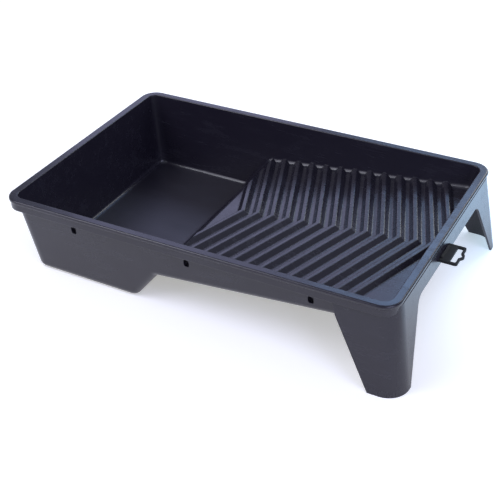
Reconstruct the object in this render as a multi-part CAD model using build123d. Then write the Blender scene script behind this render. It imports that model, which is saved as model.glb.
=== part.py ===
from build123d import *
import math
import os

# Paint roller tray: a deep-well tray body, a clip-on leg stand and a hang loop. Millimetres, +Z up.
# While a piece is being made, x runs from the well end of the rim (0) to its leg end, y = 0 is the
# middle of the tray and z = 0 is the ground. write_part() then moves every piece so that the
# origin is the middle of the whole object's footprint.

# Rim: measured along its own plane, which rises a little towards the leg end
RIM_LENGTH = 420.0
RIM_WIDTH = 280.0
RIM_CORNER = 18.0
RIM_FLANGE = 8.7
RIM_TOP = 2.4
WELL_END_HEIGHT = 85.4
LEG_END_HEIGHT = 91.8
BEAD_DEPTH = 4.5
LIP_STEP = 1.4
LIP_DEPTH = 12.0
LIP_WALL = 2.0

# Vessel: wall, floor profile and the drafts of its walls (sideways millimetres per millimetre down)
WALL = 2.2
SIDE_DRAFT = 0.113
WELL_END_DRAFT = 0.155
LEG_END_DRAFT = 0.20
WALL_CORNER = 10.0
FLOOR_END = 140.8
STEP_TOP_X = 169.2
STEP_TOP_Z = 38.8
RAMP_ANGLE = 6.4
STEP_FOOT_RADIUS = 9.0
STEP_TOP_RADIUS = 7.0
FLOOR_FILLET = 5.5

# Chevron ribs on the ramp: sizes along the ramp, with their points a little off the tray's middle
RIB_PITCH = 17.38
RIB_LEAD = 26.8
RIB_HEIGHT = 4.6
RIB_FOOT = 13.2
RIB_CREST = 4.2
RIB_ROUNDING = 1.5
RIB_SWEEP = 20.0
RIB_POINT_Y = 7.0
RIB_FAR_EXTRA = 1
RIB_FILM = 0.15

# Deep blind pockets in the near long wall, under the rim, each backed by a boss inside the vessel
POCKET_COUNT = 3
POCKET_PITCH = 128.8
POCKET_SHIFT = 1.7
POCKET_DROP = 21.5
POCKET_WIDTH = 5.8
POCKET_HEIGHT = 8.0
POCKET_CORNER = 2.0
POCKET_DEPTH = 4.4
POCKET_WALL = 1.6

# Leg stand
STAND_WALL = 2.4
STAND_SPLAY = 0.176
STAND_CORNER_TOP = 16.0
STAND_CORNER_FOOT = 22.0
SIDE_PANEL_INSET = 6.6
SKIRT_DEPTH = 19.5
LEG_FOOT_SETBACK = 17.1
LEG_KNEE_DROP = 26.3
LEG_EDGE_SLOPE = 0.60
LEG_SEAM_SLOPE = 0.33
LEG_FOOT_WIDTH = 25.8
LEG_INNER_SLOPE = 0.516
LEG_ARCH_RADIUS = 14.0
PANEL_TOP_DROP = 9.0
STAND_FLANGE = 2.0
STAND_FLANGE_SETBACK = 28.0
STAND_GAP = 0.25
WALL_GAP = 0.4

# Catch lugs under the stand's top flange
LUG_COUNT = 4
LUG_SETBACK = 50.0
LUG_WIDTH = 14.0
LUG_REACH = 1.9
LUG_HEIGHT = 4.5

# Hang loop
LOOP_MIDDLE_Y = -15.9
LOOP_WIDTH = 30.8
LOOP_THICKNESS = 2.6
LOOP_DROP = 13.2
LOOP_REACH = 17.4
LOOP_CORNER = 2.4
LOOP_BAR = 2.2
LOOP_SLOT = 5.6
LOOP_SLOT_WIDTH = 26.4
LOOP_NOTCH_WIDTH = 9.0
LOOP_NOTCH_BULGE = 2.4
LOOP_TAIL_WIDTH = 40.0
LOOP_TAIL_HEIGHT = 8.6
LOOP_TAIL_THICKNESS = 2.0
LOOP_CATCH = 0.9
LOOP_CATCH_LENGTH = 2.6
LOOP_CATCH_WIDTH = 21.6
LOOP_GAP = 0.2

# Rounding
BEAD_ROUNDING = 1.9
LIP_ROUNDING = 0.6
MOUTH_ROUNDING = 1.0

# How far cutting and clipping shapes run past what they cut, and how far joined ones sink in
SINK = 1.0
OVERCUT = 3.0
BEYOND = 40.0

# Worked out from the sizes above
RIM_TILT = math.asin((LEG_END_HEIGHT - WELL_END_HEIGHT) / RIM_LENGTH)
LEG_END_X = RIM_LENGTH * math.cos(RIM_TILT)
RAMP_SLOPE = math.tan(math.radians(RAMP_ANGLE))
HULL_DEPTH = LEG_END_HEIGHT + BEYOND
STAND_TOP_Z = LEG_END_HEIGHT - BEAD_DEPTH
FOOT_REACH = STAND_TOP_Z * STAND_SPLAY
STAND_START_X = LEG_END_X / 2
LOOP_TOP_Z = LEG_END_HEIGHT - LOOP_DROP


def rim_plane(drop=0.0):
    """The plane of the rim, lowered by drop along its own normal."""
    along = (math.cos(RIM_TILT), 0, math.sin(RIM_TILT))
    normal = (-math.sin(RIM_TILT), 0, math.cos(RIM_TILT))
    return Plane(origin=(0, 0, WELL_END_HEIGHT), x_dir=along, z_dir=normal).offset(-drop)


def outline(drop, x_start, x_end, half_width, corner):
    """A rounded rectangle on the rim's plane, lowered by drop."""
    middle = Pos((x_start + x_end) / 2, 0)
    return rim_plane(drop) * middle * RectangleRounded(x_end - x_start, 2 * half_width, corner)


def rim_slab(inset, top, bottom):
    """The rim's outline, drawn in by inset, as a slab between two drops."""
    face = outline(bottom, inset, RIM_LENGTH - inset, RIM_WIDTH / 2 - inset, RIM_CORNER - inset)
    return extrude(face, amount=bottom - top)


def wall_outline(drop, grow):
    """The drafted walls' rounded rectangle at a drop below the rim, grown outwards."""
    x_start = RIM_FLANGE + WELL_END_DRAFT * drop - grow
    x_end = RIM_LENGTH - RIM_FLANGE - LEG_END_DRAFT * drop + grow
    half_width = RIM_WIDTH / 2 - RIM_FLANGE - SIDE_DRAFT * drop + grow
    return outline(drop, x_start, x_end, half_width, WALL_CORNER + grow)


def wall_hull(grow, top=0.0):
    """The solid inside the drafted walls, from the rim down past the ground."""
    return loft([wall_outline(top, grow), wall_outline(HULL_DEPTH, grow)], ruled=True)


def ramp_height(x, below=0.0):
    """Height of the ramp's flat at x, or of a surface that far below it."""
    return STEP_TOP_Z + (x - STEP_TOP_X) * RAMP_SLOPE - below / math.cos(math.radians(RAMP_ANGLE))


def floor_corners(below):
    """The floor profile's two corners, for a surface that lies below the upper one."""
    step = math.atan2(STEP_TOP_Z - WALL, STEP_TOP_X - FLOOR_END)
    ramp = math.radians(RAMP_ANGLE)
    foot = (FLOOR_END + below * math.tan(step / 2), WALL - below)
    top_x = STEP_TOP_X + below * math.sin((step + ramp) / 2) / math.cos((step - ramp) / 2)
    return foot, (top_x, ramp_height(top_x, below))


def above_floor(below):
    """Everything above the floor profile, or above a surface that lies below it."""
    foot, top = floor_corners(below)
    start = (-BEYOND, foot[1])
    end_x = RIM_LENGTH + BEYOND
    end = (end_x, ramp_height(end_x, below))
    radii = [STEP_FOOT_RADIUS + below, STEP_TOP_RADIUS - below]
    line = FilletPolyline([start, foot, top, end], radius=radii)
    ceiling = LEG_END_HEIGHT + BEYOND
    closing = Polyline([end, (end_x, ceiling), (-BEYOND, ceiling), start])
    face = make_face(Plane.XZ * (Curve() + [line, closing]))
    return extrude(face, amount=RIM_WIDTH, both=True)


def floor_height(x, below):
    """Height of the well's floor, the step or the ramp at x, or of a surface that far below them."""
    if x > STEP_TOP_X:
        return ramp_height(x, below)
    climb = max(x - FLOOR_END, 0.0) / (STEP_TOP_X - FLOOR_END)
    return WALL - below + climb * (STEP_TOP_Z - WALL)


def is_step_edge(edge):
    """True for the edges across the tray at the step's foot and top, which have their own rounding."""
    x = edge.position_at(0.5).X
    crosswise = abs(edge.tangent_at(0.5).Y) > 0.9
    return crosswise and FLOOR_END / 2 < x < (STEP_TOP_X + RIM_LENGTH) / 2


def floor_edges(solid, below):
    """The edges where the drafted walls meet the floor, the step and the ramp."""
    chosen = []
    for edge in solid.edges():
        middle = edge.position_at(0.5)
        near_floor = abs(middle.Z - floor_height(middle.X, below)) < FLOOR_FILLET
        if near_floor and not is_step_edge(edge):
            chosen.append(edge)
    return chosen


def vessel(grow, below, top=0.0):
    """The solid bounded by the drafted walls and the floor profile, rounded along the floor."""
    solid = wall_hull(grow, top) & above_floor(below)
    return fillet(floor_edges(solid, below), FLOOR_FILLET + grow)


def ramp_end_x():
    """Where the ramp meets the leg-end wall's inner face."""
    depth = LEG_END_HEIGHT - ramp_height(LEG_END_X)
    return LEG_END_X - RIM_FLANGE - LEG_END_DRAFT * depth


def rib_section(extra):
    """The ribs' section along the ramp, from the first crest: a wave with rounded crests and valleys."""
    slope = math.cos(math.radians(RAMP_ANGLE))
    first_x = STEP_TOP_X + RIB_LEAD
    count = int((ramp_end_x() - first_x) / slope / RIB_PITCH) + 1 + extra
    points = [(-RIB_FOOT / 2 - SINK, -SINK), (-RIB_FOOT / 2 - SINK, RIB_FILM)]
    for number in range(count):
        crest = number * RIB_PITCH
        points.append((crest - RIB_FOOT / 2, RIB_FILM))
        points.append((crest - RIB_CREST / 2, RIB_HEIGHT))
        points.append((crest + RIB_CREST / 2, RIB_HEIGHT))
        points.append((crest + RIB_FOOT / 2, RIB_FILM))
    end = points[-1][0] + SINK
    points += [(end, RIB_FILM), (end, -SINK), points[0]]
    face = make_face(Polyline(points))
    within = [v for v in face.vertices() if points[1][0] + SINK / 2 < v.X < end - SINK / 2]
    corners = [v for v in within if v.Y > RIB_FILM / 2]
    face = fillet(corners, RIB_ROUNDING)
    place = Plane(origin=(first_x, RIB_POINT_Y, ramp_height(first_x)), x_dir=(1, 0, 0), z_dir=(0, -1, 0))
    return place * Rot(0, 0, RAMP_ANGLE) * face


def rib_arms(side):
    """One side's arms, from the chevrons' points to past the side wall. The far corner takes one more."""
    extra = RIB_FAR_EXTRA if side > 0 else 0
    back = math.tan(math.radians(RIB_SWEEP))
    fall = back * RAMP_SLOPE
    reach = RIM_WIDTH / 2 + abs(RIB_POINT_Y)
    length = reach * math.sqrt(1 + back**2 + fall**2)
    return extrude(rib_section(extra), amount=length, dir=(-back, side, -fall))


def rib_bounds():
    """Where ribs may be: inside the vessel's skin, and behind the step's slope carried upwards."""
    rise = STEP_TOP_Z - WALL
    run = STEP_TOP_X - FLOOR_END
    lift = (LEG_END_HEIGHT - WALL) / rise
    top = (FLOOR_END + lift * run, WALL + lift * rise)
    points = [(FLOOR_END, WALL), top, (RIM_LENGTH, top[1]), (RIM_LENGTH, WALL), (FLOOR_END, WALL)]
    side_view = extrude(make_face(Plane.XZ * Polyline(points)), amount=RIM_WIDTH, both=True)
    return vessel(WALL / 2, WALL / 2) & side_view


def ribs():
    """All the chevrons, clipped to the ramp."""
    return (rib_arms(-1) + rib_arms(1)) & rib_bounds()


def pocket_places():
    """Planes on the near wall's outer face, one for each pocket, that look into the tray."""
    face_y = RIM_WIDTH / 2 - RIM_FLANGE - SIDE_DRAFT * POCKET_DROP + WALL
    places = []
    for number in range(POCKET_COUNT):
        along = RIM_LENGTH / 2 - POCKET_SHIFT + (number - (POCKET_COUNT - 1) / 2) * POCKET_PITCH
        spot = (rim_plane(POCKET_DROP) * Pos(along, 0)).position
        places.append(Plane(origin=(spot.X, -face_y, spot.Z), x_dir=(1, 0, 0), z_dir=(0, 1, 0)))
    return places


def pocket_block(place, grow, start, depth):
    """A rounded block on a pocket's plane, grown all round, between two depths into the tray."""
    outline_face = RectangleRounded(POCKET_WIDTH + 2 * grow, POCKET_HEIGHT + 2 * grow, POCKET_CORNER + grow)
    return extrude(place.offset(start) * outline_face, amount=depth - start)


def pocket_bosses():
    """The bosses inside the vessel that the pockets are sunk into, with their inner edges rounded."""
    bosses = []
    for place in pocket_places():
        boss = pocket_block(place, POCKET_WALL, WALL / 2, POCKET_DEPTH + POCKET_WALL)
        inner_edges = boss.faces().sort_by(Axis.Y)[-1].edges()
        bosses.append(fillet(inner_edges, POCKET_WALL / 2))
    return bosses


def pocket_cutters():
    """What the pockets take out, from well outside the wall."""
    return [pocket_block(place, 0, -OVERCUT, POCKET_DEPTH) for place in pocket_places()]


def rim():
    """The rolled rim: a bead, a stepped lip under it and the open channel behind them."""
    bead = rim_slab(0, 0, BEAD_DEPTH)
    top_edges = bead.faces().sort_by(Axis.Z)[-1].edges()
    bead = fillet(top_edges, BEAD_ROUNDING)
    lip = rim_slab(LIP_STEP, BEAD_DEPTH - SINK, LIP_DEPTH)
    low_edges = lip.faces().sort_by(Axis.Z)[0].edges()
    lip = fillet(low_edges, LIP_ROUNDING)
    channel = rim_slab(LIP_STEP + LIP_WALL, RIM_TOP, LIP_DEPTH + OVERCUT)
    return bead + (lip - stand_envelope(STAND_GAP)) - channel


def end_wall_x(drop):
    """Distance along the rim to the outer face of the leg-end wall."""
    return RIM_LENGTH - RIM_FLANGE - LEG_END_DRAFT * drop + WALL


def flange_drop():
    """Drop of the stand's top flange below the rim's top."""
    return BEAD_DEPTH + STAND_GAP


def catch_lugs():
    """Wedges on the leg-end wall that the stand's top flange snaps over."""
    top = flange_drop() + STAND_FLANGE + STAND_GAP
    low = top + LUG_HEIGHT
    root = WALL / 2
    points = [
        (end_wall_x(top) - root, -top),
        (end_wall_x(top) + LUG_REACH, -top),
        (end_wall_x(low), -low),
        (end_wall_x(low) - root, -low),
        (end_wall_x(top) - root, -top),
    ]
    frame = rim_plane()
    section = Plane(origin=frame.origin, x_dir=frame.x_dir, z_dir=(0, -1, 0)) * Polyline(points)
    lug = extrude(make_face(section), amount=LUG_WIDTH / 2, both=True)
    outermost = RIM_WIDTH / 2 - LUG_SETBACK
    spacing = 2 * outermost / (LUG_COUNT - 1)
    return [Pos(0, number * spacing - outermost, 0) * lug for number in range(LUG_COUNT)]


def mouth_edges(body):
    """The edges round the inside of the rim's flat top."""
    top = rim_plane()
    chosen = []
    for edge in body.edges():
        place = top.to_local_coords(edge.position_at(0.5))
        along = RIM_FLANGE / 2 < place.X < RIM_LENGTH - RIM_FLANGE / 2
        across = abs(place.Y) < (RIM_WIDTH - RIM_FLANGE) / 2
        if abs(place.Z) < MOUTH_ROUNDING / 10 and along and across:
            chosen.append(edge)
    return chosen


def tray_body():
    """The vessel with its ribs, rim, pockets and catch lugs, as one moulding."""
    body = rim() + vessel(WALL, WALL)
    body = body - vessel(0, 0, -OVERCUT)
    body = fillet(mouth_edges(body), MOUTH_ROUNDING)
    body = body + ribs() + catch_lugs() + pocket_bosses()
    return body - pocket_cutters()


def stand_outline(z, shrink):
    """The stand's rounded outline at a height, drawn in by shrink."""
    x_end = LEG_END_X + STAND_SPLAY * (STAND_TOP_Z - z) - shrink
    half_width = RIM_WIDTH / 2 - SIDE_PANEL_INSET + STAND_SPLAY * (STAND_TOP_Z - z) - shrink
    share = z / STAND_TOP_Z
    corner = STAND_CORNER_FOOT + share * (STAND_CORNER_TOP - STAND_CORNER_FOOT) - shrink
    place = Plane.XY.offset(z) * Pos((STAND_START_X + x_end) / 2, 0)
    return place * RectangleRounded(x_end - STAND_START_X, 2 * half_width, corner)


def stand_cone(shrink, low=0.0, high=STAND_TOP_Z):
    """The splayed block whose skin is the stand."""
    return loft([stand_outline(low, shrink), stand_outline(high, shrink)], ruled=True)


def stand_envelope(gap):
    """The space that the stand takes up under the rim, with a gap round it."""
    return stand_cone(-gap, STAND_TOP_Z / 2, STAND_TOP_Z + OVERCUT)


def leg_side_view():
    """The part of the side view that the legs fill, drawn as a prism across the tray."""
    foot_x = LEG_END_X - LEG_FOOT_SETBACK
    knee_z = LEG_END_HEIGHT - LEG_KNEE_DROP
    knee_x = foot_x - LEG_EDGE_SLOPE * knee_z
    top_x = knee_x - LEG_SEAM_SLOPE * LEG_KNEE_DROP
    far_x = LEG_END_X + BEYOND
    start = (foot_x + LEG_EDGE_SLOPE * OVERCUT, -OVERCUT)
    points = [start, (knee_x, knee_z), (top_x, LEG_END_HEIGHT)]
    points += [(far_x, LEG_END_HEIGHT), (far_x, -OVERCUT), start]
    return extrude(make_face(Plane.XZ * Polyline(points)), amount=RIM_WIDTH, both=True)


def arch_cutter():
    """The opening under the skirt, between the two legs' end panels."""
    skirt_z = LEG_END_HEIGHT - SKIRT_DEPTH
    foot_y = RIM_WIDTH / 2 + FOOT_REACH - SIDE_PANEL_INSET - LEG_FOOT_WIDTH
    top_y = foot_y - LEG_INNER_SLOPE * skirt_z
    low_y = foot_y + LEG_INNER_SLOPE * OVERCUT
    points = [(-low_y, -OVERCUT), (-top_y, skirt_z), (top_y, skirt_z), (low_y, -OVERCUT)]
    face = make_face(Polyline([*points, points[0]]))
    face = fillet(face.vertices().sort_by(Axis.Y)[-2:], LEG_ARCH_RADIUS)
    start = LEG_END_X - STAND_CORNER_FOOT
    return extrude(Plane.YZ.offset(start) * face, amount=STAND_CORNER_FOOT + BEYOND)


def panel_trim():
    """Slabs that end the side panels inside the rim's channel, and the skirt short of the bead."""
    length = RIM_LENGTH - RIM_CORNER - STAND_START_X
    side_place = rim_plane(PANEL_TOP_DROP) * Pos(STAND_START_X + length / 2, 0)
    side_slab = extrude(side_place * Rectangle(length, RIM_WIDTH + BEYOND), amount=PANEL_TOP_DROP)
    top_place = rim_plane(flange_drop()) * Pos(LEG_END_X, 0)
    top_slab = extrude(top_place * Rectangle(LEG_END_X, RIM_WIDTH + BEYOND), amount=BEYOND)
    return side_slab, top_slab


def stand_flange():
    """The flat flange inside the skirt's top edge, which the catch lugs hold."""
    low = flange_drop() + STAND_FLANGE
    start = RIM_LENGTH - RIM_FLANGE
    place = rim_plane(low) * Pos(start + BEYOND / 2, 0)
    slab = extrude(place * Rectangle(BEYOND, RIM_WIDTH - 2 * STAND_FLANGE_SETBACK), amount=STAND_FLANGE)
    return slab & stand_cone(STAND_WALL / 2, 0, LEG_END_HEIGHT)


def loop_root_x():
    """The skirt's outer face at the loop's height."""
    return LEG_END_X + STAND_SPLAY * (STAND_TOP_Z - LOOP_TOP_Z)


def loop_slot_cutter():
    """The slot in the skirt that the hang loop comes through."""
    height = LOOP_THICKNESS + 2 * LOOP_GAP
    middle_z = LOOP_TOP_Z - LOOP_THICKNESS / 2
    place = Pos(loop_root_x(), LOOP_MIDDLE_Y, middle_z)
    return place * Box(BEYOND, LOOP_WIDTH + 2 * LOOP_GAP, height)


def leg_stand():
    """The skirt and the two L-section legs, as one moulding."""
    high = LEG_END_HEIGHT
    shell = stand_cone(0, 0, high) - stand_cone(STAND_WALL, 0, high)
    shell = shell & leg_side_view()
    shell = shell - arch_cutter()
    side_slab, top_slab = panel_trim()
    shell = shell - side_slab - top_slab
    shell = shell + stand_flange()
    shell = shell - wall_hull(WALL + WALL_GAP)
    return shell - loop_slot_cutter()


def bulged_end(x_end, start_x):
    """The part past start_x of a round bulge that stands out from x_end."""
    radius = (LOOP_NOTCH_WIDTH**2 / 4 + LOOP_NOTCH_BULGE**2) / (2 * LOOP_NOTCH_BULGE)
    disc = Pos(x_end + LOOP_NOTCH_BULGE - radius, 0) * Circle(radius)
    return disc & (Pos(start_x + BEYOND / 2, 0) * Rectangle(BEYOND, BEYOND))


def loop_plate():
    """The loop's flat plate, with the nail slot and its outward notch."""
    inner_x = loop_root_x() - STAND_WALL - LOOP_GAP - LOOP_TAIL_THICKNESS / 2
    outer_x = loop_root_x() + LOOP_REACH
    bar_x = outer_x - LOOP_BAR
    slot_x = bar_x - LOOP_SLOT / 2
    plate = Pos((inner_x + outer_x) / 2, 0) * Rectangle(outer_x - inner_x, LOOP_WIDTH)
    plate = fillet(plate.vertices().sort_by(Axis.X)[-2:], LOOP_CORNER)
    slot = Pos(slot_x, 0) * RectangleRounded(LOOP_SLOT, LOOP_SLOT_WIDTH, LOOP_CORNER / 2)
    face = plate + bulged_end(outer_x, bar_x) - slot - bulged_end(bar_x, slot_x)
    return extrude(Plane.XY.offset(LOOP_TOP_Z - LOOP_THICKNESS) * face, amount=LOOP_THICKNESS)


def loop_tail():
    """The wide tail behind the skirt that stops the loop from pulling out."""
    lean = -math.degrees(math.atan(STAND_SPLAY))
    middle_z = LOOP_TOP_Z - LOOP_THICKNESS / 2
    skin_x = LEG_END_X + STAND_SPLAY * (STAND_TOP_Z - middle_z) - STAND_WALL - LOOP_GAP
    tail = Box(LOOP_TAIL_THICKNESS, LOOP_TAIL_WIDTH, LOOP_TAIL_HEIGHT)
    return Pos(skin_x - LOOP_TAIL_THICKNESS / 2, 0, middle_z) * Rot(0, lean, 0) * tail


def loop_catch():
    """The ramped catch on top of the plate, just outside the skirt."""
    start = loop_root_x() + LOOP_GAP
    points = [
        (start, LOOP_TOP_Z - LOOP_THICKNESS / 2),
        (start, LOOP_TOP_Z + LOOP_CATCH),
        (start + LOOP_CATCH_LENGTH, LOOP_TOP_Z),
        (start + LOOP_CATCH_LENGTH, LOOP_TOP_Z - LOOP_THICKNESS / 2),
        (start, LOOP_TOP_Z - LOOP_THICKNESS / 2),
    ]
    return extrude(make_face(Plane.XZ * Polyline(points)), amount=LOOP_CATCH_WIDTH / 2, both=True)


def hang_loop():
    """The hanging tab: plate, tail and catch."""
    return Pos(0, LOOP_MIDDLE_Y, 0) * (loop_plate() + loop_tail() + loop_catch())


def write_part(name, shape):
    """Move a piece to the row's origin and write its file."""
    length = loop_root_x() + LOOP_REACH + LOOP_NOTCH_BULGE
    placed = Pos(-length / 2, 0, 0) * shape
    export_step(Compound(children=placed.solids()), os.path.join("parts", name + ".step"))


def main():
    """Build every piece and write one file for each."""
    os.makedirs("parts", exist_ok=True)
    write_part("tray_body", tray_body())
    write_part("leg_stand", leg_stand())
    write_part("hang_loop", hang_loop())


if __name__ == "__main__":
    main()
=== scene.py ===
"""Looks of a paint roller tray: plastic for its three mouldings, and a plain studio round them."""

import math

import bmesh
import bpy
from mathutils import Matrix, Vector


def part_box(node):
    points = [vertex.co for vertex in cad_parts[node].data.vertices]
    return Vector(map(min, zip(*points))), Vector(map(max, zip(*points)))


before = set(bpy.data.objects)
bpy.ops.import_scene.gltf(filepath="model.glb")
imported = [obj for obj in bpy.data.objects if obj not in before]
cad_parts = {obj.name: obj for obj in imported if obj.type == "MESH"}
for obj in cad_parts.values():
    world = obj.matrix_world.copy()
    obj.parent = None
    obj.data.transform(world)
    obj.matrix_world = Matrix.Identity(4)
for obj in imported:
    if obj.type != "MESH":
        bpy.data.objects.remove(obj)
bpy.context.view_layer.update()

bl_info = {
    "name": "Paint Roller Tray",
    "version": (1, 0, 0),
    "blender": (4, 5, 0),
    "location": "3D Viewport > Sidebar > Roller Tray",
    "description": "Moulded plastic finishes and a plain studio for a paint roller tray",
    "category": "Object",
}

MM = 0.001
TRAY_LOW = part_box("tray_body")[0]
STAND_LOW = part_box("leg_stand")[0]

# widths of the patterns in the glossy plastic
CLOUD_SIZE = 45 * MM
SINK_SIZE = 28 * MM
FLOW_SIZE = 14 * MM
SMEAR_SIZE = 9 * MM
DUST_SIZE = 3 * MM
HAIRLINE_SIZE = 1.1 * MM
STREAK_SIZE = 7 * MM
FOOT_STREAK_SIZE = 2.0 * MM
# widths of the patterns in the satin plastic
SATIN_CLOUD_SIZE = 9 * MM
NICK_SIZE = 1.6 * MM
# width of the floor's fibres, and the two colours that they mix
FIBRE_SIZE = 0.8 * MM
DARK_FIBRE = (0.88, 0.88, 0.90, 1.0)
LIGHT_FIBRE = (0.91, 0.91, 0.92, 1.0)

# how far each mark turns a plastic towards its scuffed colour
RUB_TINT = 0.10
HAIRLINE_TINT = 0.10
DUST_TINT = 0.10
NICK_TINT = 0.15
SATIN_CLOUD_TINT = 0.10
# the share of an edge that is worn everywhere, and what the cloud pattern adds to it
EDGE_WORN = 0.35
EDGE_WORN_CLOUD = 0.9
SATIN_EDGE_WORN = 0.3
# shares of the two patterns that make a scuff
SMEAR_SHARE = 0.7
CLOUD_SHARE = 0.3
# how much roughness each mark and pattern adds to the glossy plastic
SCUFF_ROUGHNESS = 0.08
RUB_ROUGHNESS = 0.05
HAIRLINE_ROUGHNESS = 0.08
CLOUD_ROUGHNESS = 0.09
FLOW_ROUGHNESS = 0.03
GRAIN_ROUGHNESS = 0.04
# the same for the satin plastic, whose worn edges are smoother instead
SATIN_CLOUD_ROUGHNESS = 0.10
SATIN_GRAIN_ROUGHNESS = 0.06
SATIN_WEAR_POLISH = 0.12
# roughness of the paper floor, and what its fibres add
PAPER_ROUGHNESS = 0.88
FIBRE_ROUGHNESS = 0.06
# heights of the relief in parts of RELIEF_UNIT
RELIEF_UNIT = 1.0 * MM
RELIEF_STRENGTH = 0.6
GRAIN_RELIEF = 0.003
SINK_RELIEF = 0.5
HAIRLINE_RELIEF = 0.004
SATIN_GRAIN_RELIEF = 0.05
NICK_RELIEF = 0.04

# the upward part of a normal where a face starts to count as facing up, and where it fully does
FACING_UP_START = 0.72
FACING_UP_FULL = 0.92
# rays that round the edges' gloss
BEVEL_SAMPLES = 10

# height about the crests' plane where a roller's rub starts, is full, fades and ends
RUB_START = -2.2 * MM
RUB_FULL = -0.6 * MM
RUB_FADE = 0.8 * MM
RUB_END = 1.6 * MM
# distance before the first crest where the rub starts
RUB_LEAD = 8 * MM
# height above the ground up to which the well's floor is dull, and where that ends
WELL_FLOOR_TOP = 2.5 * MM
WELL_FLOOR_END = 3.0 * MM
# height above the ground up to which a foot is fully rubbed, and where that ends
FOOT_RUB_FULL = 0.5 * MM
FOOT_RUB_END = 9 * MM

# name, bearing from +X and height above the ground in degrees, width in metres, watts, colour
LIGHTS = [
    ("well_light", 225.0, 40.0, 1.1, 12.4, (0.857, 0.846, 1.0)),
    ("leg_end_light", 330.0, 35.0, 0.8, 8.8, (0.640, 0.670, 1.0)),
    ("back_low_light", 78.0, 22.0, 0.65, 5.6, (0.879, 0.932, 1.0)),
    ("back_light", 125.0, 31.0, 0.62, 2.1, (0.600, 0.610, 1.0)),
    ("far_rim_light", 101.0, 37.0, 0.40, 2.4, (0.380, 0.590, 1.0)),
    ("well_edge_light", 63.0, 42.0, 0.45, 2.6, (0.900, 0.940, 1.0)),
    ("well_high_light", 215.0, 56.0, 0.40, 2.6, (0.900, 0.940, 1.0)),
]
# x and y of a patch of floor that gives more light, its full and its whole radius, and its colour
FLOOR_GLOWS = [
    (0.50, 0.30, 0.10, 0.42, (0.10, 0.56, 1.0)),
    (0.36, 0.22, 0.04, 0.20, (0.25, 0.32, 0.41)),
    (0.33, 0.05, 0.04, 0.20, (0.21, 0.29, 0.37)),
]
LIGHT_DISTANCE = 1.6
LIGHT_AIM = (0.0, 0.0, 0.05)
LOWEST_LIGHT = 0.27


class Value:
    """One output of a material's nodes, so that Python arithmetic adds Math nodes."""

    def __init__(self, tree, socket):
        self.tree = tree
        self.socket = socket

    def math(self, operation, *inputs, clamp=False):
        """A Math node fed by numbers and values."""
        settings = {"operation": operation, "use_clamp": clamp}
        return add_node(self.tree, "ShaderNodeMath", settings, dict(enumerate(inputs)))

    def __add__(self, other):
        return self.math("ADD", self, other)

    def __radd__(self, other):
        return self.math("ADD", other, self)

    def __sub__(self, other):
        return self.math("SUBTRACT", self, other)

    def __rsub__(self, other):
        return self.math("SUBTRACT", other, self)

    def __mul__(self, other):
        return self.math("MULTIPLY", self, other)

    def __rmul__(self, other):
        return self.math("MULTIPLY", other, self)

    def clamped(self):
        """The value kept between 0 and 1."""
        return self.math("ADD", self, 0.0, clamp=True)


def set_stops(ramp, stops):
    """Give a colour ramp its two stops, as pairs of a place and a grey."""
    for element, (place, grey) in zip(ramp.elements, stops):
        element.position = place
        element.color = (grey, grey, grey, 1.0)


def add_node(tree, kind, settings, sockets, output=0):
    """Add any node, its settings first and then its sockets, and give back one output."""
    node = tree.nodes.new(kind)
    for name, setting in settings.items():
        if name == "stops":
            set_stops(node.color_ramp, setting)
        else:
            setattr(node, name, setting)
    for name, value in sockets.items():
        if isinstance(value, Value):
            tree.links.new(value.socket, node.inputs[name])
        else:
            node.inputs[name].default_value = value
    return Value(tree, node.outputs[output]) if node.outputs else None


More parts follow.
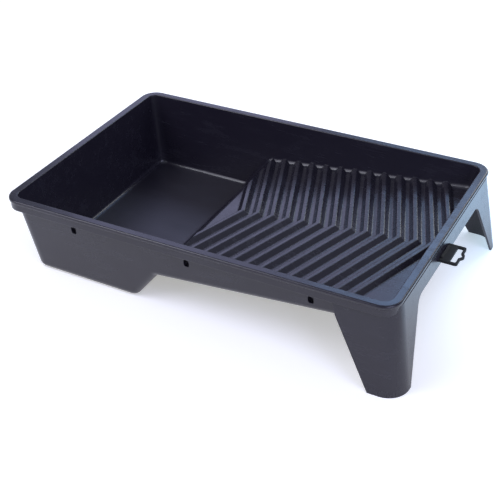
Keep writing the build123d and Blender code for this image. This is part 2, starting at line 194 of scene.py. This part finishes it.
class Finish:
    """The node tree of one material or of the world, with the patterns that the plastics share."""

    def __init__(self, owner):
        owner.use_nodes = True
        self.tree = owner.node_tree
        self.tree.nodes.clear()

    def node(self, kind, settings, sockets, output=0):
        """Any node of this tree."""
        return add_node(self.tree, kind, settings, sockets, output)

    def place(self, stretch=(1.0, 1.0, 1.0), turn=(0.0, 0.0, 0.0)):
        """Object coordinates in metres, turned and stretched."""
        raw = self.node("ShaderNodeTexCoord", {}, {}, output="Object")
        sockets = {"Vector": raw, "Scale": stretch, "Rotation": turn}
        return self.node("ShaderNodeMapping", {}, sockets)

    def noise(self, size, detail=2.0, roughness=0.5, where=None):
        """Noise whose features are about size metres across, from 0 to 1."""
        where = where or self.place()
        sockets = {"Vector": where, "Scale": 1.0 / size, "Detail": detail, "Roughness": roughness}
        return self.node("ShaderNodeTexNoise", {}, sockets)

    def ramp(self, value, low, high, start=0.0, end=1.0):
        """A straight change from start, where the value is low, to end, where it is high."""
        return self.node("ShaderNodeValToRGB", {"stops": [(low, start), (high, end)]}, {"Fac": value})

    def mix(self, amount, low, high):
        """Blend two colours: sockets 0, 6 and 7 are the factor and the two colours."""
        settings = {"data_type": "RGBA", "clamp_factor": True}
        return self.node("ShaderNodeMix", settings, {0: amount, 6: low, 7: high}, output=2)

    def add(self, amount, colour, more):
        """A colour with an amount of a second colour added."""
        settings = {"data_type": "RGBA", "blend_type": "ADD", "clamp_factor": True}
        return self.node("ShaderNodeMix", settings, {0: amount, 6: colour, 7: more}, output=2)

    def along(self, vector, axis):
        """One number of a vector."""
        return self.node("ShaderNodeSeparateXYZ", {}, {"Vector": vector}, output=axis)

    def step(self, value, low, high):
        """A smooth rise from 0 at low to 1 at high, or a fall where low is the greater."""
        settings = {"interpolation_type": "SMOOTHSTEP"}
        sockets = {"Value": value, "From Min": low, "From Max": high, "To Min": 0.0, "To Max": 1.0}
        return self.node("ShaderNodeMapRange", settings, sockets)

    def relief(self, height, normal):
        """Normals bent by a height, over the normals given."""
        sockets = {
            "Strength": RELIEF_STRENGTH,
            "Distance": RELIEF_UNIT,
            "Height": height,
            "Normal": normal,
        }
        return self.node("ShaderNodeBump", {}, sockets)

    def close(self, shader):
        """Send a shader to the tree's output."""
        self.node("ShaderNodeOutputMaterial", {}, {"Surface": shader})


def plain(colour):
    """A colour property as a socket's four numbers."""
    return (*colour[:3], 1.0)


def rounded_normal(finish, radius):
    """Normals that round every edge a little, and a mask that is 1 along the sharp edges."""
    soft = finish.node("ShaderNodeBevel", {"samples": BEVEL_SAMPLES}, {"Radius": radius})
    hard = finish.node("ShaderNodeNewGeometry", {}, {}, output="Normal")
    settings = {"operation": "DOT_PRODUCT"}
    likeness = finish.node("ShaderNodeVectorMath", settings, {0: soft, 1: hard}, output="Value")
    return soft, finish.ramp(likeness, 0.80, 0.985, start=1.0, end=0.0)


def upward(finish):
    """A mask of the surfaces that face up."""
    normal = finish.node("ShaderNodeNewGeometry", {}, {}, output="Normal")
    return finish.step(finish.along(normal, "Z"), FACING_UP_START, FACING_UP_FULL)


def hairlines(finish, turn, patch):
    """Fine scratches that run one way, in patches."""
    stretched = finish.place(stretch=(0.035, 1.0, 1.0), turn=(0.0, 0.0, turn))
    lines = finish.noise(HAIRLINE_SIZE, 2.0, 0.6, stretched)
    return finish.ramp(lines, 0.64, 0.74) * finish.ramp(patch, 0.48, 0.66)


def rib_rub(finish, look):
    """A mask of the rib crests, where a roller rubs: upward faces near the crests' plane."""
    here = finish.place()
    run = finish.along(here, "X") - (TRAY_LOW[0] + look.first_rib)
    crest = TRAY_LOW[2] + look.crest_height + run * math.tan(look.ramp_angle)
    above = finish.along(here, "Z") - crest
    layer = finish.step(above, RUB_START, RUB_FULL) * finish.step(above, RUB_END, RUB_FADE)
    rubbed = layer * upward(finish) * finish.step(run, -RUB_LEAD, 0.0)
    streaks = finish.noise(STREAK_SIZE, 2.0, 0.5, finish.place(stretch=(0.07, 1.0, 1.0)))
    return rubbed * finish.ramp(streaks, 0.38, 0.62, start=0.1)


def dull_well(finish, look):
    """A mask of the well's floor, which the mould leaves duller than the rest."""
    height = finish.along(finish.place(), "Z") - TRAY_LOW[2]
    return finish.step(height, WELL_FLOOR_END, WELL_FLOOR_TOP) * upward(finish)


def glossy_plastic(name, look, rubbed, dulled):
    """Polished plastic: grain, sink and flow in the gloss, scuffs, hairlines and rubbed edges."""
    material = bpy.data.materials.new(name)
    finish = Finish(material)
    grain = finish.noise(look.grain_size, 2.0, 0.6)
    cloud = finish.noise(CLOUD_SIZE, 3.0, 0.55)
    sink = finish.noise(SINK_SIZE, 1.0, 0.4)
    along_flow = finish.place(stretch=(0.3, 1.0, 1.0), turn=(0.0, 0.0, 0.2))
    flow = finish.noise(FLOW_SIZE, 3.0, 0.5, along_flow)
    along_smear = finish.place(stretch=(0.22, 1.0, 1.0), turn=(0.0, 0.0, 0.35))
    smear = finish.noise(SMEAR_SIZE, 4.0, 0.65, along_smear)
    scuff = finish.ramp(smear * SMEAR_SHARE + cloud * CLOUD_SHARE, 0.50, 0.68)
    lines = hairlines(finish, 0.06, cloud) + hairlines(finish, 1.15, flow)
    soft, edge = rounded_normal(finish, look.edge_radius)
    wear = (edge * (EDGE_WORN + cloud * EDGE_WORN_CLOUD)).clamped()
    rub = rubbed(finish, look)
    dull = dulled(finish, look)
    dust = upward(finish) * finish.ramp(finish.noise(DUST_SIZE, 5.0, 0.7), 0.52, 0.80)
    marks = scuff * look.scuffs + wear * look.edge_wear
    marks = marks + rub * RUB_TINT + lines * HAIRLINE_TINT + dust * DUST_TINT
    tint = finish.mix(flow, plain(look.colour), plain(look.flow_colour))
    colour = finish.mix(marks.clamped(), tint, plain(look.scuffed_colour))
    worn = scuff * SCUFF_ROUGHNESS + rub * RUB_ROUGHNESS + lines * HAIRLINE_ROUGHNESS
    moulded = cloud * CLOUD_ROUGHNESS + flow * FLOW_ROUGHNESS + grain * GRAIN_ROUGHNESS
    roughness = look.gloss + moulded + worn + dull * look.well_dullness
    height = grain * GRAIN_RELIEF + sink * SINK_RELIEF - lines * HAIRLINE_RELIEF
    sockets = {
        "Base Color": colour,
        "Roughness": roughness.clamped(),
        "IOR": 1.49,
        "Normal": finish.relief(height, soft),
    }
    finish.close(finish.node("ShaderNodeBsdfPrincipled", {}, sockets))
    return material


def foot_rub(finish, look):
    """A mask of the stand's feet, where they slide on the ground."""
    height = finish.along(finish.place(), "Z") - STAND_LOW[2]
    streaks = finish.noise(FOOT_STREAK_SIZE, 3.0, 0.6, finish.place(stretch=(1.0, 1.0, 0.25)))
    return finish.step(height, FOOT_RUB_END, FOOT_RUB_FULL) * finish.ramp(streaks, 0.40, 0.65)


def satin_plastic(name, look):
    """Satin black plastic: a fine sparked grain, small nicks and edges rubbed smooth."""
    material = bpy.data.materials.new(name)
    finish = Finish(material)
    grain = finish.noise(look.grain_size, 3.0, 0.65)
    cloud = finish.noise(SATIN_CLOUD_SIZE, 3.0, 0.55)
    nicks = finish.ramp(finish.noise(NICK_SIZE, 2.0, 0.5), 0.66, 0.72)
    soft, edge = rounded_normal(finish, look.edge_radius)
    wear = (edge * (SATIN_EDGE_WORN + cloud)).clamped()
    marks = wear * look.edge_wear + nicks * NICK_TINT + cloud * SATIN_CLOUD_TINT
    colour = finish.mix(marks.clamped(), plain(look.colour), plain(look.scuffed_colour))
    moulded = cloud * SATIN_CLOUD_ROUGHNESS + grain * SATIN_GRAIN_ROUGHNESS
    roughness = look.gloss + moulded - wear * SATIN_WEAR_POLISH
    height = grain * SATIN_GRAIN_RELIEF - nicks * NICK_RELIEF
    sockets = {
        "Base Color": colour,
        "Roughness": roughness.clamped(),
        "Specular IOR Level": 0.28,
        "Normal": finish.relief(height, soft),
    }
    finish.close(finish.node("ShaderNodeBsdfPrincipled", {}, sockets))
    return material


def give_finish(node, material):
    """Put a finish in the material slot of one moulding."""
    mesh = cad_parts[node].data
    mesh.materials.clear()
    mesh.materials.append(material)


def floor_finish(look):
    """A pale matt floor that gives some light of its own, more behind the leg end."""
    material = bpy.data.materials.new("pale_floor")
    finish = Finish(material)
    light = plain(look.floor_light)
    for x, y, core, reach, colour in FLOOR_GLOWS:
        sockets = {0: finish.place(), 1: (x, y, 0.0)}
        settings = {"operation": "DISTANCE"}
        away = finish.node("ShaderNodeVectorMath", settings, sockets, output="Value")
        light = finish.add(finish.step(away, reach, core), light, plain(colour))
    fibre = finish.noise(FIBRE_SIZE, 2.0, 0.6)
    sockets = {
        "Base Color": finish.mix(fibre, DARK_FIBRE, LIGHT_FIBRE),
        "Roughness": PAPER_ROUGHNESS + fibre * FIBRE_ROUGHNESS,
        "Specular IOR Level": 0.1,
        "Emission Color": light,
        "Emission Strength": look.glow_strength,
    }
    finish.close(finish.node("ShaderNodeBsdfPrincipled", {}, sockets))
    return material


def add_floor(look):
    """A flat square of floor under the feet."""
    mesh = bpy.data.meshes.new("floor")
    shape = bmesh.new()
    bmesh.ops.create_grid(shape, x_segments=1, y_segments=1, size=look.floor_width / 2)
    shape.to_mesh(mesh)
    shape.free()
    floor = bpy.data.objects.new("floor", mesh)
    bpy.context.scene.collection.objects.link(floor)
    mesh.materials.append(floor_finish(look))


def add_world(look):
    """Soft light from all round."""
    world = bpy.data.worlds.new("studio")
    finish = Finish(world)
    sockets = {"Color": plain(look.room_colour), "Strength": look.room_light}
    light = finish.node("ShaderNodeBackground", {}, sockets)
    finish.node("ShaderNodeOutputWorld", {}, {"Surface": light})
    bpy.context.scene.world = world


def add_light(name, bearing, height, width, power, colour):
    """A square soft light that looks at the tray."""
    light = bpy.data.lights.new(name, "AREA")
    light.shape = "SQUARE"
    light.size = width
    light.energy = power
    light.color = colour
    holder = bpy.data.objects.new(name, light)
    bpy.context.scene.collection.objects.link(holder)
    turn = math.radians(bearing)
    rise = math.radians(height)
    level = math.cos(rise) * LIGHT_DISTANCE
    lift = math.sin(rise) * LIGHT_DISTANCE + LIGHT_AIM[2]
    place = Vector((math.cos(turn) * level, math.sin(turn) * level, max(lift, LOWEST_LIGHT)))
    holder.location = place
    holder.rotation_euler = (Vector(LIGHT_AIM) - place).to_track_quat("-Z", "Y").to_euler()


def add_camera(look):
    """The camera, in front of the long side and above the leg end."""
    data = bpy.data.cameras.new("camera")
    data.lens = look.lens
    camera = bpy.data.objects.new("camera", data)
    bpy.context.scene.collection.objects.link(camera)
    level = math.cos(look.camera_rise)
    across = math.sin(look.camera_turn) * level
    away = -math.cos(look.camera_turn) * level
    back = Vector((across, away, math.sin(look.camera_rise)))
    camera.location = Vector(look.camera_aim) + back * look.camera_distance
    camera.rotation_euler = (-back).to_track_quat("-Z", "Y").to_euler()
    bpy.context.scene.camera = camera


def colour_property(name, description, default):
    """A colour that a user may change."""
    return bpy.props.FloatVectorProperty(
        name=name, description=description, default=default, subtype="COLOR", min=0.0, soft_max=1.0
    )


def length_property(name, description, default):
    """A length in metres that a user may change."""
    return bpy.props.FloatProperty(
        name=name, description=description, default=default, min=0.0, unit="LENGTH", precision=4
    )


def share_property(name, description, default):
    """A share between 0 and 1 that a user may change."""
    return bpy.props.FloatProperty(
        name=name, description=description, default=default, min=0.0, max=1.0, subtype="FACTOR"
    )


def angle_property(name, description, degrees):
    """An angle that a user may change."""
    return bpy.props.FloatProperty(
        name=name, description=description, default=math.radians(degrees), subtype="ANGLE"
    )


class RollerTrayPlasticLook(bpy.types.PropertyGroup):
    """The navy plastic of the tray and of its leg stand."""

    colour: colour_property("Colour", "Colour of the clean plastic", (0.0128, 0.0110, 0.0190))
    flow_colour: colour_property(
        "Flow colour", "Colour where the melt flowed last", (0.0148, 0.0128, 0.0208)
    )
    scuffed_colour: colour_property(
        "Scuffed colour", "Colour of rubbed edges and scuffs", (0.050, 0.050, 0.068)
    )
    gloss: share_property("Roughness", "Least roughness of the polished faces", 0.16)
    well_dullness: share_property("Dullness", "How much duller the well's floor and the feet are", 0.16)
    scuffs: share_property("Scuffs", "How strongly scuffs show", 0.15)
    edge_wear: share_property("Edge wear", "How strongly rubbed edges show", 0.45)
    grain_size: length_property("Grain size", "Width of the mould's fine grain", 0.5 * MM)
    edge_radius: length_property("Edge radius", "How far an edge's gloss is rounded", 0.4 * MM)
    first_rib: length_property("First rib", "From the well end to the first crest", 196.0 * MM)
    crest_height: length_property("Crest height", "Height of the first crest", 46.3 * MM)
    ramp_angle: angle_property("Ramp angle", "Slope of the ribbed ramp", 6.4)


class RollerTrayLoopLook(bpy.types.PropertyGroup):
    """The black plastic of the hanging loop."""

    colour: colour_property("Colour", "Colour of the clean plastic", (0.0045, 0.0045, 0.0052))
    scuffed_colour: colour_property(
        "Scuffed colour", "Colour of rubbed edges and nicks", (0.030, 0.030, 0.034)
    )
    gloss: share_property("Roughness", "Roughness of the grained faces", 0.60)
    edge_wear: share_property("Edge wear", "How strongly rubbed edges show", 0.40)
    grain_size: length_property("Grain size", "Width of the mould's fine grain", 0.35 * MM)
    edge_radius: length_property("Edge radius", "How far an edge's gloss is rounded", 0.35 * MM)


class RollerTrayStudioLook(bpy.types.PropertyGroup):
    """The floor, the light and the camera."""

    floor_width: length_property("Floor width", "Side of the square floor", 12.0)
    floor_light: colour_property("Floor light", "Light from the paper floor", (0.255, 0.252, 0.238))
    glow_strength: bpy.props.FloatProperty(
        name="Glow strength", description="How bright the floor's light is", default=1.5, min=0.0
    )
    room_colour: colour_property("Room colour", "Colour of the light all round", (0.771, 0.841, 1.0))
    room_light: bpy.props.FloatProperty(
        name="Room light", description="Strength of the light all round", default=0.415, min=0.0
    )
    camera_turn: angle_property("Camera turn", "Turn from the long side towards the legs", 27.54)
    camera_rise: angle_property("Camera rise", "Height of the camera as an angle", 34.25)
    camera_distance: length_property("Camera distance", "Distance from the aim point", 1.03205)
    camera_aim: bpy.props.FloatVectorProperty(
        name="Camera aim",
        description="Point that the camera looks at",
        default=(0.0191, -0.0610, 0.050),
        unit="LENGTH",
    )
    lens: bpy.props.FloatProperty(
        name="Lens", description="Focal length in millimetres", default=75.27, min=1.0, unit="CAMERA"
    )


class ROLLERTRAY_OT_tray_body(bpy.types.Operator):
    """Give the tray its glossy navy plastic, rubbed along the rib crests"""

    bl_idname = "roller_tray.tray_body"
    bl_label = "Tray Body Finish"

    def execute(self, context):
        look = context.scene.tray_plastic_look
        give_finish("tray_body", glossy_plastic("tray_plastic", look, rib_rub, dull_well))
        return {"FINISHED"}


class ROLLERTRAY_OT_leg_stand(bpy.types.Operator):
    """Give the leg stand its glossy navy plastic, rubbed at the feet"""

    bl_idname = "roller_tray.leg_stand"
    bl_label = "Leg Stand Finish"

    def execute(self, context):
        look = context.scene.tray_plastic_look
        give_finish("leg_stand", glossy_plastic("stand_plastic", look, foot_rub, foot_rub))
        return {"FINISHED"}


class ROLLERTRAY_OT_hang_loop(bpy.types.Operator):
    """Give the hanging loop its satin black plastic"""

    bl_idname = "roller_tray.hang_loop"
    bl_label = "Hanging Loop Finish"

    def execute(self, context):
        look = context.scene.hang_loop_look
        give_finish("hang_loop", satin_plastic("loop_plastic", look))
        return {"FINISHED"}


class ROLLERTRAY_OT_studio(bpy.types.Operator):
    """Build the floor, the lights and the camera"""

    bl_idname = "roller_tray.studio"
    bl_label = "Studio"

    def execute(self, context):
        look = context.scene.tray_studio_look
        add_floor(look)
        add_world(look)
        for light in LIGHTS:
            add_light(*light)
        add_camera(look)
        context.scene.view_settings.view_transform = "Standard"
        return {"FINISHED"}


class ROLLERTRAY_PT_looks(bpy.types.Panel):
    """The steps that finish the tray, and the values that they use"""

    bl_label = "Roller Tray"
    bl_idname = "ROLLERTRAY_PT_looks"
    bl_space_type = "VIEW_3D"
    bl_region_type = "UI"
    bl_category = "Roller Tray"

    def draw(self, context):
        for look_name, _ in LOOKS:
            box = self.layout.box()
            look = getattr(context.scene, look_name)
            for name in look.__annotations__:
                box.prop(look, name)
        for step in STEPS:
            self.layout.operator(step.bl_idname)


LOOKS = [
    ("tray_plastic_look", RollerTrayPlasticLook),
    ("hang_loop_look", RollerTrayLoopLook),
    ("tray_studio_look", RollerTrayStudioLook),
]
STEPS = [
    ROLLERTRAY_OT_tray_body,
    ROLLERTRAY_OT_leg_stand,
    ROLLERTRAY_OT_hang_loop,
    ROLLERTRAY_OT_studio,
]


def register():
    """Register the groups, the operators and the panel."""
    for name, group in LOOKS:
        bpy.utils.register_class(group)
        setattr(bpy.types.Scene, name, bpy.props.PointerProperty(type=group))
    for part in STEPS + [ROLLERTRAY_PT_looks]:
        bpy.utils.register_class(part)


def unregister():
    """Take away what register added."""
    for part in reversed(STEPS + [ROLLERTRAY_PT_looks]):
        bpy.utils.unregister_class(part)
    for name, group in reversed(LOOKS):
        delattr(bpy.types.Scene, name)
        bpy.utils.unregister_class(group)


def main():
    """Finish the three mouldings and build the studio."""
    register()
    bpy.ops.roller_tray.tray_body()
    bpy.ops.roller_tray.leg_stand()
    bpy.ops.roller_tray.hang_loop()
    bpy.ops.roller_tray.studio()


if __name__ == "__main__":
    main()
